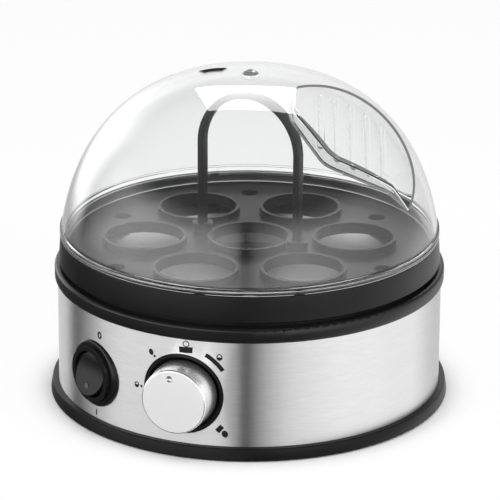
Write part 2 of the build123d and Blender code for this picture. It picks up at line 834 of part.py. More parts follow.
with BuildPart() as board_screws:
    with BuildSketch(Plane.XY.offset(board_top)):
        with Locations(*board_posts):
            Circle(small_screw_head_radius)
    extrude(amount=small_screw_head)
    with BuildSketch(Plane.XY.offset(board_top)):
        with Locations(*board_posts):
            Circle(small_screw_radius)
    extrude(amount=-small_screw_length)

# Lift-out tray: the black band, the deck and the seats
seat_azimuths = [i * 360 / seat_count for i in range(seat_count)]
steam_azimuths = [a + 180 / seat_count for a in seat_azimuths]
seats = [(0, 0)] + around(seat_circle, seat_azimuths)
handle_feet = around(handle_half_span, (handle_azimuth, handle_azimuth + 180))
tray_outline = [
    (0, tray_deck_bottom),
    (tray_foot_radius - tray_wall, tray_deck_bottom),
    (tray_foot_radius - tray_wall, tray_foot),
    (tray_foot_radius, tray_foot),
    (tray_top_radius, tray_top),
    (tray_top_radius - tray_wall, tray_top),
    (tray_top_radius - tray_wall, tray_deck_top),
    (0, tray_deck_top),
]
with BuildPart() as egg_tray:
    with BuildSketch(Plane.XZ) as tray_section:
        Polygon(*tray_outline, align=None)
        fillet(tray_section.vertices().sort_by(Axis.X)[-2:], radius=tray_edge_round)
    revolve(axis=Axis.Z)
    with BuildSketch(Plane.XY.offset(tray_deck_top)):
        with Locations(*seats):
            Circle(seat_radius + seat_wall)
    extrude(amount=seat_rise - tray_deck_wall)
    with BuildSketch(Plane.XY.offset(tray_deck_top)):
        with Locations(*handle_feet):
            Circle(handle_boss_radius)
    extrude(amount=handle_boss_rise)
    with BuildSketch(Plane.XY.offset(tray_deck_bottom)):
        with Locations(*seats):
            Circle(seat_radius)
        with Locations(*around(steam_hole_circle, steam_azimuths)):
            Circle(steam_hole_radius)
    extrude(amount=seat_rise, mode=Mode.SUBTRACT)
    for x, y in handle_feet:
        with BuildSketch(Plane.XY.offset(tray_deck_top)):
            with Locations(Location((x, y, 0), (0, 0, handle_azimuth))):
                Rectangle(handle_thickness + 2 * thread_gap, handle_width + 2 * thread_gap)
        extrude(amount=handle_boss_rise, mode=Mode.SUBTRACT)

# Handle: a flat strap bent into an arch, standing in the two sockets of the tray
handle_plane = upright_plane(handle_azimuth)
handle_low = tray_deck_top + handle_thickness / 2
with BuildPart() as tray_handle:
    with BuildSketch(handle_plane):
        with BuildLine():
            left = Line((-handle_half_span, handle_low), (-handle_half_span, handle_spring_height))
            arch = RadiusArc(left @ 1, (handle_half_span, handle_spring_height), handle_half_span)
            right = Line(arch @ 1, (handle_half_span, handle_low))
            offset(amount=handle_thickness / 2, side=Side.BOTH)
        make_face()
    extrude(amount=handle_width / 2, both=True)
    fillet(tray_handle.edges().filter_by(lambda e: e.length > 2 * handle_width), radius=handle_edge_round)


def dome_points_at(inset):
    """Points of the dome's section from the rim to the crown, moved in square to the wall."""
    points = []
    start = math.asin(((rim_top_level - dome_foot) / dome_rise) ** (dome_power / 2))
    for i in range(dome_points):
        turn = start + (math.pi / 2 - start) * i / (dome_points - 1)
        r = dome_radius * max(math.cos(turn), 0) ** (2 / dome_power)
        z = dome_rise * math.sin(turn) ** (2 / dome_power)
        slope_r = (r / dome_radius) ** (dome_power - 1) / dome_radius
        slope_z = (z / dome_rise) ** (dome_power - 1) / dome_rise
        size = math.hypot(slope_r, slope_z)
        points.append((r - inset * slope_r / size, dome_foot + z - inset * slope_z / size))
    points[-1] = (0, dome_crown - inset)
    return points


def dome_body(inset, floor_radius, floor):
    """The dome as a solid: the section's curve, closed down to a floor, turned about the axis."""
    points = dome_points_at(inset)
    with BuildPart() as body:
        with BuildSketch(Plane.XZ):
            with BuildLine():
                curve = Spline(*points, tangents=[Vector(*points[1]) - Vector(*points[0]), (-1, 0)])
                Polyline(curve @ 1, (0, floor), (floor_radius, floor), (floor_radius, (curve @ 0).Y), curve @ 0)
            make_face()
        revolve(axis=Axis.Z)
    return body.part


# The pocket is cut from the outside of the dome, and its wall is left standing on the inside
pocket_lean = math.radians(pocket_tilt)
pocket_out = around(math.cos(pocket_lean), (pocket_azimuth,))[0]
pocket_slope = around(math.sin(pocket_lean), (pocket_azimuth,))[0]
pocket_normal = Vector(*pocket_out, math.sin(pocket_lean))
pocket_plane = Plane(
    origin=pocket_normal * pocket_distance,
    x_dir=(*pocket_slope, -math.cos(pocket_lean)),
    z_dir=pocket_normal,
)


def pocket_body(growth):
    """The space of the pocket, grown by a wall on every side and open above the dome."""
    lean = math.radians(pocket_draft)
    with BuildPart() as body:
        with BuildSketch(pocket_plane.offset(-growth)) as outline:
            Polygon(*pocket_outline, align=None)
            fillet(outline.vertices(), radius=pocket_corner)
            offset(amount=growth / math.cos(lean) - growth * math.tan(lean))
        extrude(amount=pocket_above, taper=-pocket_draft)
        fillet(body.faces().sort_by(Axis((0, 0, 0), pocket_normal))[0].edges(), radius=pocket_bottom_round + growth)
    return body.part


outer_dome = dome_body(0, rim_radius, tray_top)
inner_dome = dome_body(dome_wall, spigot_inner, tray_top - spigot_depth - 1)
with BuildPart() as lid_dome:
    add(outer_dome)
    fillet(lid_dome.edges().filter_by(GeomType.CIRCLE).filter_by(
        lambda e: abs(e.radius - rim_radius) < 0.01), radius=rim_round)
    with BuildSketch(Plane.XY.offset(tray_top)):
        Circle(spigot_outer)
    extrude(amount=-spigot_depth)
    add(pocket_body(0), mode=Mode.SUBTRACT)
    add(inner_dome - pocket_body(dome_wall), mode=Mode.SUBTRACT)
    with BuildSketch(Plane.XZ) as nub_section:
        Polygon(
            (0, dome_crown - dome_wall / 2),
            (nub_foot_radius, dome_crown - dome_wall / 2),
            (nub_foot_radius, dome_crown),
            (nub_radius + nub_foot_rise, dome_crown + nub_foot_rise),
            (nub_radius, dome_crown + nub_rise),
            (0, dome_crown + nub_rise),
            align=None,
        )
        nub_top = nub_section.vertices().group_by(Axis.Z)[-1]
        fillet(nub_top.sort_by(Axis.X)[-1], radius=nub_round)
    revolve(axis=Axis.Z)
    with BuildSketch(Plane.XY.offset(dome_crown)):
        slot_start = 90 - vent_slot_arc / 2
        SlotArc(CenterArc((vent_slot_x, vent_slot_y - vent_slot_curve), vent_slot_curve, slot_start,
                          vent_slot_arc), vent_slot_width)
    extrude(amount=-4 * dome_wall, mode=Mode.SUBTRACT)

# Grip ribs on the pocket's floor, upright as seen from the front
rib_slope = pocket_plane.x_dir.X
rib_across = pocket_plane.y_dir.X
rib_turn = math.atan2(rib_across, rib_slope)
with BuildPart() as pocket_ribs:
    with BuildSketch(pocket_plane):
        for i in range(pocket_rib_count):
            x = pocket_rib_first + i * pocket_rib_pitch - pocket_plane.origin.X
            away = x / math.hypot(rib_slope, rib_across)
            with Locations((away * math.cos(rib_turn), away * math.sin(rib_turn))):
                Rectangle(pocket_rib_width, 2 * dome_radius, rotation=math.degrees(rib_turn))
        with BuildSketch(mode=Mode.INTERSECT) as rib_reach:
            Polygon(*pocket_outline, align=None)
            fillet(rib_reach.vertices(), radius=pocket_corner)
            offset(amount=-pocket_bottom_round - pocket_rib_start)
    extrude(amount=pocket_rib_height)
with lid_dome:
    add(pocket_ribs.part & inner_dome)

pieces = {
    "base_pan": base_pan,
    "rubber_feet": rubber_feet,
    "base_screws": base_screws,
    "steel_band": steel_band,
    "top_collar": top_collar,
    "dish_seal": dish_seal,
    "water_dish": water_dish,
    "heating_plate": heating_plate,
    "heating_element": heating_element,
    "element_terminals": element_terminals,
    "plate_brackets": plate_brackets,
    "bracket_screws": bracket_screws,
    "safety_cutout": safety_cutout,
    "thermal_fuse": thermal_fuse,
    "dial_recess": dial_recess,
    "hardness_control": hardness_control,
    "bush_nut": bush_nut,
    "control_shaft": control_shaft,
    "knob_cap": knob_cap,
    "knob_hub_ring": knob_hub_ring,
    "switch_bezel": switch_bezel,
    "switch_housing": switch_housing,
    "rocker_button": rocker_button,
    "rocker_lens": rocker_lens,
    "cord_gland": cord_gland,
    "cord_clamp": cord_clamp,
    "clamp_screws": clamp_screws,
    "terminal_block": terminal_block,
    "sound_board": sound_board,
    "sound_buzzer": sound_buzzer,
    "board_screws": board_screws,
    "egg_tray": egg_tray,
    "tray_handle": tray_handle,
    "lid_dome": lid_dome,
}
os.makedirs("parts", exist_ok=True)
for name, piece in pieces.items():
    piece.part.label = name
    export_step(piece.part, f"parts/{name}.step")
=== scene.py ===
"""Looks of an electric egg cooker: brushed steel base, black lift-out tray and a clear dome."""

import math

import bmesh
import bpy
from mathutils import Matrix, Vector


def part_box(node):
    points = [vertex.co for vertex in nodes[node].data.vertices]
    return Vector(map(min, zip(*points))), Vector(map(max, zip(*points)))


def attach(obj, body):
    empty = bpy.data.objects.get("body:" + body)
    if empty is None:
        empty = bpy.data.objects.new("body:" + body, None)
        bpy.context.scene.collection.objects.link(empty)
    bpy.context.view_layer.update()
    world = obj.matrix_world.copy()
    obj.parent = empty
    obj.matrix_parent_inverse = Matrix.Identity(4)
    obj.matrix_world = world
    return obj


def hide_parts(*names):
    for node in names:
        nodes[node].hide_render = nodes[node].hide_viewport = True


MM = 0.001
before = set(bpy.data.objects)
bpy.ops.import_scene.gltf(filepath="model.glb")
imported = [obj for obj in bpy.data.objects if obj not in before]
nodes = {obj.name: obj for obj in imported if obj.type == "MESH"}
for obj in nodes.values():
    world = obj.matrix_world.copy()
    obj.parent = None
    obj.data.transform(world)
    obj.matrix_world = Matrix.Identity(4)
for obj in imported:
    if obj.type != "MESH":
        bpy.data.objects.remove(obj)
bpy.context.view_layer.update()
DIAL_TURN, DIAL_HEIGHT = math.radians(250.5), 28.0


# Shader expressions


class Sock:
    """A shader socket that can be used in Python sums."""

    def __init__(self, finish, socket):
        self.finish = finish
        self.socket = socket

    def _sum(self, kind, a, b):
        return self.finish.node("ShaderNodeMath", {"operation": kind}, {0: a, 1: b})

    def __add__(self, other):
        return self._sum("ADD", self, other)

    __radd__ = __add__

    def __sub__(self, other):
        return self._sum("SUBTRACT", self, other)

    def __rsub__(self, other):
        return self._sum("SUBTRACT", other, self)

    def __mul__(self, other):
        return self._sum("MULTIPLY", self, other)

    __rmul__ = __mul__

    def __truediv__(self, other):
        return self._sum("DIVIDE", self, other)

    def __gt__(self, other):
        return self._sum("GREATER_THAN", self, other)


class ShaderTree:
    """A node tree, and the one method that adds nodes to it."""

    def __init__(self, tree):
        self.tree = tree

    def node(self, kind, settings=None, inputs=None, output=0):
        new = self.tree.nodes.new(kind)
        for key, value in (settings or {}).items():
            if key == "stops":
                set_stops(new.color_ramp.elements, value)
            else:
                setattr(new, key, value)
        for key, value in (inputs or {}).items():
            if isinstance(value, Sock):
                self.tree.links.new(value.socket, new.inputs[key])
            else:
                new.inputs[key].default_value = value
        return Sock(self, new.outputs[output])


def set_stops(stops, values):
    """Fills a ramp with grey stops, given as place and shade from the lowest place to the highest."""
    first, *middle, last = values
    for stop, (place, shade) in zip(list(stops), (first, last)):
        stop.position = place
        stop.color = (shade, shade, shade, 1.0)
    for place, shade in middle:
        stops.new(place).color = (shade, shade, shade, 1.0)


class Finish(ShaderTree):
    """One material, with its Principled shader and a few helpers that add nodes to it."""

    def __init__(self, name, color=(0.5, 0.5, 0.5), **fixed):
        self.material = bpy.data.materials.new(name)
        self.material.use_nodes = True
        super().__init__(self.material.node_tree)
        self.shader = self.tree.nodes["Principled BSDF"]
        self.output = self.tree.nodes["Material Output"]
        self.set("Base Color", (*color, 1.0))
        for key, value in fixed.items():
            self.set(key.replace("_", " ").title().replace("Ior", "IOR"), value)

    def set(self, socket, value):
        target = self.shader.inputs[socket]
        if isinstance(value, Sock):
            self.tree.links.new(value.socket, target)
        else:
            target.default_value = value

    def place(self, scale=(1, 1, 1), shift=(0, 0, 0)):
        """Object coordinates, in millimetres, scaled."""
        spot = self.node("ShaderNodeTexCoord", output="Object")
        size = tuple(1000 * s for s in scale)
        return self.node("ShaderNodeMapping", {}, {"Vector": spot, "Scale": size, "Location": shift})

    def noise(self, vector, scale=1.0, detail=2.0, roughness=0.5):
        inputs = {"Vector": vector, "Scale": scale, "Detail": detail, "Roughness": roughness}
        return self.node("ShaderNodeTexNoise", {}, inputs)

    def ramp(self, value, low, high):
        """A value from 0 to 1, spread from a low to a high end."""
        inputs = {"Value": value, "To Min": low, "To Max": high}
        return self.node("ShaderNodeMapRange", {"clamp": True}, inputs)

    def shade(self, factor, dark, light):
        """A colour between two, by a factor."""
        return self.node("ShaderNodeMix", {"data_type": "RGBA"}, {0: factor, 6: (*dark, 1), 7: (*light, 1)},
                         output=2)

    def bump(self, height, strength=0.2, distance=0.05):
        inputs = {"Height": height, "Strength": strength, "Distance": distance * MM}
        self.set("Normal", self.node("ShaderNodeBump", {}, inputs))


def around_axis(finish, stretch, fine):
    """Noise that runs in thin rings about the upright axis: the coordinates are turn, radius and height."""
    spot = finish.place()
    x, y, z = (finish.node("ShaderNodeSeparateXYZ", {}, {0: spot}, output=i) for i in range(3))
    turn = finish.node("ShaderNodeMath", {"operation": "ARCTAN2"}, {0: y, 1: x})
    radius = finish.node("ShaderNodeMath", {"operation": "SQRT"}, {0: x * x + y * y})
    ring = finish.node("ShaderNodeCombineXYZ", {}, {0: turn * stretch, 1: radius * fine, 2: z * fine})
    return finish.noise(ring, 1.0, 3.0, 0.65)


# Finishes


def brushed_band():
    """Steel brushed round the axis, which draws its reflections out into upright streaks."""
    metal = Finish("brushed_band_steel", (0.62, 0.62, 0.62), metallic=1.0, anisotropic=1.0,
                   anisotropic_rotation=0.25)
    grain = around_axis(metal, 14.0, 2.6)
    broad = around_axis(metal, 5.0, 0.35)
    tone = metal.ramp(grain * 0.75 + broad * 0.25, 0.0, 1.0)
    metal.set("Base Color", metal.shade(tone, (0.64, 0.64, 0.645), (0.88, 0.88, 0.875)))
    metal.set("Roughness", metal.ramp(grain, 0.26, 0.38))
    metal.bump(grain, 0.25, 0.02)
    return metal.material


def moulded(name, color, gloss, strength=0.12, shine=0.42):
    """Moulded plastic or rubber: a fine grain, and broad soft changes of tone and gloss."""
    plastic = Finish(name, color, specular_ior_level=shine)
    spot = plastic.place()
    fine = plastic.noise(spot, 1.0, 2.0)
    broad = plastic.noise(spot, 0.06, 2.0)
    dark = tuple(c * 0.82 for c in color)
    light = tuple(c * 1.25 for c in color)
    plastic.set("Base Color", plastic.shade(broad, dark, light))
    plastic.set("Roughness", plastic.ramp(broad * 0.5 + fine * 0.5, gloss - 0.05, gloss + 0.08))
    plastic.bump(fine, strength, 0.04)
    return plastic.material


def clear_dome():
    """Clear plastic. Where a ray has turned more than three times inside it, the plastic gives off a faint
    white glow: painted light, standing in for the light that is cut off after those turns.
    """
    clear = Finish("clear_dome_plastic", (0.985, 0.99, 0.99), transmission_weight=1.0, ior=1.49)
    haze = clear.noise(clear.place(), 0.03, 2.0)
    clear.set("Roughness", clear.ramp(haze, 0.0, 0.03))
    last_turn, painted_glow_strength = 3.5, 0.11
    trapped = clear.node("ShaderNodeLightPath", output="Glossy Depth") > last_turn
    # Painted light: a faint white glow on rays that have turned many times inside the plastic.
    clear.set("Emission Color", (1.0, 1.0, 1.0, 1.0))
    clear.set("Emission Strength", trapped * painted_glow_strength)
    return clear.material


def sheet_metal(name, color, rough):
    """Plain metal with a fine grain and broad soft changes of tone."""
    metal = Finish(name, color, metallic=1.0)
    spot = metal.place()
    fine = metal.noise(spot, 0.5, 4.0, 0.6)
    broad = metal.noise(spot, 0.05, 2.0)
    dark = tuple(c * 0.85 for c in color)
    light = tuple(min(c * 1.12, 1) for c in color)
    metal.set("Base Color", metal.shade(broad, dark, light))
    metal.set("Roughness", metal.ramp(fine, rough - 0.06, rough + 0.1))
    metal.bump(fine, 0.1, 0.02)
    return metal.material


def knob_silver(knob, turn):
    """Satin lacquer on the knob's flat face, and bright metal round its side and in its dimple. The side's
    colour is painted darker where ambient occlusion finds the recess close round it: painted shade.
    """
    across, out = math.cos(turn), math.sin(turn)
    face = max(v.co.x * across + v.co.y * out for v in knob.data.vertices) / MM
    silver = Finish("knob_silver_lacquer", (0.85, 0.85, 0.85))
    spot = silver.place()
    x, y = (silver.node("ShaderNodeSeparateXYZ", {}, {0: spot}, output=i) for i in range(2))
    on_face = (x * across + y * out) > (face - 0.04)
    fleck = silver.noise(spot, 3.0, 2.0)
    broad = silver.noise(spot, 0.08, 2.0)
    lacquer = silver.shade(fleck * 0.6 + broad * 0.4, (0.80, 0.80, 0.80), (0.93, 0.93, 0.925))
    # Painted shade: the side's colour falls to dark grey where the recess closes round it, by ambient
    # occlusion.
    recess_openness_for_painted_shade = silver.node("ShaderNodeAmbientOcclusion", {"samples": 8}, {"Distance": 9 * MM}, output=1)
    free_of_painted_shade = silver.node("ShaderNodeMath", {"operation": "MAXIMUM"},
                                  {0: on_face, 1: recess_openness_for_painted_shade * recess_openness_for_painted_shade})
    shown = silver.node("ShaderNodeMix", {"data_type": "RGBA"},
                        {0: free_of_painted_shade, 6: (0.10, 0.10, 0.10, 1), 7: lacquer}, output=2)
    silver.set("Base Color", shown)
    silver.set("Metallic", 0.85 - on_face * 0.75)
    silver.set("Roughness", silver.ramp(fleck, 0.24, 0.27) + on_face * 0.14)
    silver.bump(fleck, 0.08, 0.02)
    return silver.material


def amber_lens(lens_node):
    """A dim lens with a painted amber glow at its heart, for the lit pilot lamp behind it."""
    low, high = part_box(lens_node)
    painted_glow_centre = tuple((a + b) / 2 / MM for a, b in zip(low, high))
    lens = Finish("amber_lens_plastic", (0.10, 0.03, 0.02), roughness=0.18)
    spot = lens.place()
    away = lens.node("ShaderNodeVectorMath", {"operation": "DISTANCE"}, {0: spot, 1: painted_glow_centre}, output=1)
    swirl = lens.noise(spot, 0.8, 2.0)
    fade = {"Value": away + swirl * 0.5, "From Min": 0.6, "From Max": 1.7, "To Min": 1.0, "To Max": 0.0}
    glow = lens.node("ShaderNodeMapRange", {}, fade)
    # Painted light: the lens colour is bright amber at its centre and fades to dark, for the lamp's glow.
    lens.set("Base Color", lens.shade(glow, (0.030, 0.012, 0.010), (0.60, 0.13, 0.05)))
    return lens.material


def printed_ink():
    ink = Finish("scale_ink", (0.015, 0.015, 0.015), roughness=0.55, specular_ior_level=0.15)
    speck = ink.noise(ink.place(), 2.0, 2.0)
    ink.set("Base Color", ink.shade(speck, (0.011, 0.011, 0.011), (0.020, 0.020, 0.020)))
    return ink.material


BAND = brushed_band()
BLACK = moulded("satin_black_moulding", (0.008, 0.008, 0.0083), 0.30, shine=0.28)
PAN_BLACK = moulded("satin_black_pan", (0.007, 0.007, 0.0072), 0.34, shine=0.13)
TRAY_BLACK = moulded("satin_black_tray", (0.008, 0.008, 0.0083), 0.29, shine=0.22)
ROCKER_BLACK = moulded("polished_black_rocker", (0.010, 0.010, 0.010), 0.24, strength=0.03, shine=0.2)
DARK = moulded("phenolic_moulding", (0.05, 0.045, 0.04), 0.55)
RUBBER = moulded("foot_rubber", (0.03, 0.03, 0.03), 0.7, strength=0.2)
SILICONE = moulded("seal_silicone", (0.30, 0.28, 0.27), 0.6)
PALE = moulded("nylon_moulding", (0.72, 0.70, 0.65), 0.5)
LAMINATE = moulded("board_laminate", (0.12, 0.22, 0.10), 0.45)
CLEAR = clear_dome()
# The steam slot's cut walls are dark instead of clear: painted shade for the dark look of the slot through
# the dome.
SLOT_PAINTED_SHADE = moulded("slot_edge_painted_shade", (0.03, 0.03, 0.031), 0.45, strength=0.05)
DISH = sheet_metal("pressed_dish_steel", (0.62, 0.62, 0.61), 0.28)
PLATE = sheet_metal("cast_plate_aluminium", (0.60, 0.60, 0.60), 0.5)
SHEATH = sheet_metal("heat_dulled_sheath", (0.30, 0.28, 0.26), 0.45)
PLATED = sheet_metal("plated_steel", (0.55, 0.55, 0.54), 0.32)
SILVER = knob_silver(nodes["knob_cap"], DIAL_TURN)
AMBER = amber_lens("rocker_lens")
INK = printed_ink()

NODE_FINISH = {
    "base_pan": PAN_BLACK, "top_collar": BLACK, "dial_recess": BLACK, "switch_bezel": BLACK,
    "rubber_feet": RUBBER, "cord_gland": RUBBER, "base_screws": PLATED, "steel_band": BAND,
    "dish_seal": SILICONE, "water_dish": DISH, "heating_plate": PLATE, "heating_element": SHEATH,
    "element_terminals": PLATED, "plate_brackets": PLATED, "bracket_screws": PLATED, "safety_cutout": DARK,
    "thermal_fuse": PLATED, "hardness_control": DARK, "bush_nut": PLATED, "control_shaft": PLATED,
    "knob_cap": SILVER, "knob_hub_ring": PLATED, "switch_housing": DARK, "rocker_button": ROCKER_BLACK,
    "rocker_lens": AMBER, "cord_clamp": DARK, "clamp_screws": PLATED, "terminal_block": PALE,
    "sound_board": LAMINATE, "sound_buzzer": DARK, "board_screws": PLATED, "egg_tray": TRAY_BLACK,
    "tray_handle": TRAY_BLACK,
}


# Smoothing


def smoothing_tree():
    """Geometry nodes that join loose triangles and shade everything smooth but the sharp edges."""
    tree = bpy.data.node_groups.new("join_and_smooth", "GeometryNodeTree")
    tree.interface.new_socket("Geometry", in_out="INPUT", socket_type="NodeSocketGeometry")
    angle = tree.interface.new_socket("Sharp angle", in_out="INPUT", socket_type="NodeSocketFloat")
    angle.default_value = math.radians(28)
    tree.interface.new_socket("Geometry", in_out="OUTPUT", socket_type="NodeSocketGeometry")
    start = tree.nodes.new("NodeGroupInput")
    end = tree.nodes.new("NodeGroupOutput")
    merge = tree.nodes.new("GeometryNodeMergeByDistance")
    merge.inputs["Distance"].default_value = 0.004 * MM
    edge_angle = tree.nodes.new("GeometryNodeInputMeshEdgeAngle")
    compare = tree.nodes.new("FunctionNodeCompare")
    compare.operation = "LESS_EQUAL"
    edges = tree.nodes.new("GeometryNodeSetShadeSmooth")
    edges.domain = "EDGE"
    faces = tree.nodes.new("GeometryNodeSetShadeSmooth")
    links = tree.links
    links.new(start.outputs["Geometry"], merge.inputs["Geometry"])
    links.new(merge.outputs[0], edges.inputs["Geometry"])
    links.new(edge_angle.outputs[0], compare.inputs[0])
    links.new(start.outputs["Sharp angle"], compare.inputs[1])
    links.new(compare.outputs[0], edges.inputs["Shade Smooth"])
    links.new(edges.outputs[0], faces.inputs["Geometry"])
    links.new(faces.outputs[0], end.inputs["Geometry"])
    return tree


SMOOTHING = smoothing_tree()


def smooth(obj):
    modifier = obj.modifiers.new("join_and_smooth", "NODES")
    modifier.node_group = SMOOTHING


def finish_node(obj, material):
    obj.data.materials.clear()
    obj.data.materials.append(material)
    for slot in obj.material_slots:
        slot.material = material


for name, material in NODE_FINISH.items():
    finish_node(nodes[name], material)
    smooth(nodes[name])


# Mesh helpers


def mesh_object(name, verts, faces, material):
    mesh = bpy.data.meshes.new(name)
    mesh.from_pydata([tuple(MM * c for c in v) for v in verts], [], faces)
    mesh.materials.append(material)
    obj = bpy.data.objects.new(name, mesh)
    bpy.context.scene.collection.objects.link(obj)
    shell = bmesh.new()
    shell.from_mesh(mesh)
    bmesh.ops.remove_doubles(shell, verts=shell.verts, dist=1e-7)
    bmesh.ops.recalc_face_normals(shell, faces=shell.faces)
    shell.to_mesh(mesh)
    shell.free()
    return obj


def lathe(name, profile, steps, material):
    """A closed solid turned about the upright axis. The profile's first and last points are on the axis."""
    verts = [(0, 0, profile[0][1])]
    for r, z in profile[1:-1]:
        for i in range(steps):
            turn = 2 * math.pi * i / steps
            verts.append((r * math.cos(turn), r * math.sin(turn), z))
    verts.append((0, 0, profile[-1][1]))
    faces = []
    last = len(verts) - 1
    rings = len(profile) - 2
    for i in range(steps):
        j = (i + 1) % steps
        faces.append((0, 1 + j, 1 + i))
        for k in range(rings - 1):
            a = 1 + k * steps
            b = a + steps
            faces.append((a + i, a + j, b + j, b + i))
        top = 1 + (rings - 1) * steps
        faces.append((top + i, top + j, last))
    return mesh_object(name, verts, faces, material)


def loft(name, rings, material):
    """A closed solid through rings of equal length, capped at both ends."""
    count = len(rings[0])
    verts = [p for ring in rings for p in ring]
    faces = [tuple(range(count))[::-1], tuple(range(len(verts) - count, len(verts)))]
    for k in range(len(rings) - 1):
        for i in range(count):
            j = (i + 1) % count
            a = k * count
            faces.append((a + i, a + j, a + count + j, a + count + i))
    return mesh_object(name, verts, faces, material)


def combine(target, tool, kind):
    modifier = target.modifiers.new("combine", "BOOLEAN")
    modifier.operation = kind
    modifier.object = tool
    modifier.solver = "EXACT"
    modifier.material_mode = "TRANSFER"
    bake(target)
    bpy.data.objects.remove(tool)


def bake(obj):
    """Turns an object's modifiers into its plain mesh."""
    graph = bpy.context.evaluated_depsgraph_get()
    mesh = bpy.data.meshes.new_from_object(obj.evaluated_get(graph))
    obj.modifiers.clear()
    obj.data = mesh


# The clear dome

DOME_RADIUS, DOME_RISE, DOME_FOOT, DOME_POWER = 84.27, 96.5, 48.1, 2.437
WALL = 2.0
TRAY_TOP = 72.9
RIM_RADIUS = 83.3
SPIGOT_OUTER, SPIGOT_INNER, SPIGOT_LOW = 80.7, 79.1, 68.9
CROWN = DOME_FOOT + DOME_RISE
STEPS = 256


def dome_curve(inset, low, count):
    points = []
    start = math.asin(((low - DOME_FOOT) / DOME_RISE) ** (DOME_POWER / 2))
    for i in range(count):
        turn = start + (math.pi / 2 - start) * i / count
        r = DOME_RADIUS * math.cos(turn) ** (2 / DOME_POWER)
        z = DOME_RISE * math.sin(turn) ** (2 / DOME_POWER)
        slope_r = (r / DOME_RADIUS) ** (DOME_POWER - 1) / DOME_RADIUS
        slope_z = (z / DOME_RISE) ** (DOME_POWER - 1) / DOME_RISE
        size = math.hypot(slope_r, slope_z)
        points.append((r - inset * slope_r / size, DOME_FOOT + z - inset * slope_z / size))
    return points


# The pocket's own axes: down the slope of its floor, across it, and square out of it
POCKET_TURN, POCKET_TILT, POCKET_DISTANCE = math.radians(-44.8), math.radians(48.0), 121.2
OUT = Vector((math.cos(POCKET_TILT) * math.cos(POCKET_TURN), math.cos(POCKET_TILT) * math.sin(POCKET_TURN),
              math.sin(POCKET_TILT)))
DOWN = Vector((math.sin(POCKET_TILT) * math.cos(POCKET_TURN), math.sin(POCKET_TILT) * math.sin(POCKET_TURN),
               -math.cos(POCKET_TILT)))
ACROSS = OUT.cross(DOWN)
POCKET_OUTLINE = [Vector(p) for p in ((-94, 20), (-65, -8), (-41, -6), (-20.5, 17), (2, 24.5), (12, 60),
                                      (-82, 60))]
POCKET_ROUND, POCKET_DRAFT, POCKET_ABOVE, FLOOR_ROUND = 7.0, math.radians(18), 14.0, 1.6


def in_pocket(a, b, c):
    return OUT * (POCKET_DISTANCE + c) + DOWN * a + ACROSS * b


def outline_ring(inset, height, arc=9):
    """The pocket's outline, drawn in by an inset, at a height above its floor."""
    ring = []
    count = len(POCKET_OUTLINE)
    for i in range(count):
        before, corner, after = POCKET_OUTLINE[i - 1], POCKET_OUTLINE[i], POCKET_OUTLINE[(i + 1) % count]
        come = (corner - before).normalized()
        leave = (after - corner).normalized()
        bulge = 1 if come.x * leave.y - come.y * leave.x > 0 else -1
        first = math.atan2(-come.x * bulge, come.y * bulge)
        sweep = (math.atan2(-leave.x * bulge, leave.y * bulge) - first + math.pi) % (2 * math.pi) - math.pi
        half = (math.pi - abs(sweep)) / 2
        centre = corner + (leave - come).normalized() * POCKET_ROUND / math.sin(half)
        for k in range(arc + 1):
            turn = first + sweep * k / arc
            ring.append(centre + Vector((math.cos(turn), math.sin(turn))) * (POCKET_ROUND - bulge * inset))
    return [in_pocket(p.x, p.y, height) for p in ring]


def pocket_tool(name, growth):
    """The pocket's space, grown by a wall on every side, with a rounded floor edge."""
    spread = growth / math.cos(POCKET_DRAFT) - growth * math.tan(POCKET_DRAFT)
    edge = FLOOR_ROUND + growth
    centre = edge / math.cos(POCKET_DRAFT) - edge * math.tan(POCKET_DRAFT) - spread
    rings = []
    for k in range(7):
        turn = (math.pi / 2 - POCKET_DRAFT) * k / 6
        rings.append(outline_ring(centre - edge * math.sin(turn), edge * (1 - math.cos(turn)) - growth))
    for k in range(1, 8):
        height = POCKET_ABOVE * k / 7
        if height > edge:
            rings.append(outline_ring(-spread - height * math.tan(POCKET_DRAFT), height - growth))
    return loft(name, rings, CLEAR)


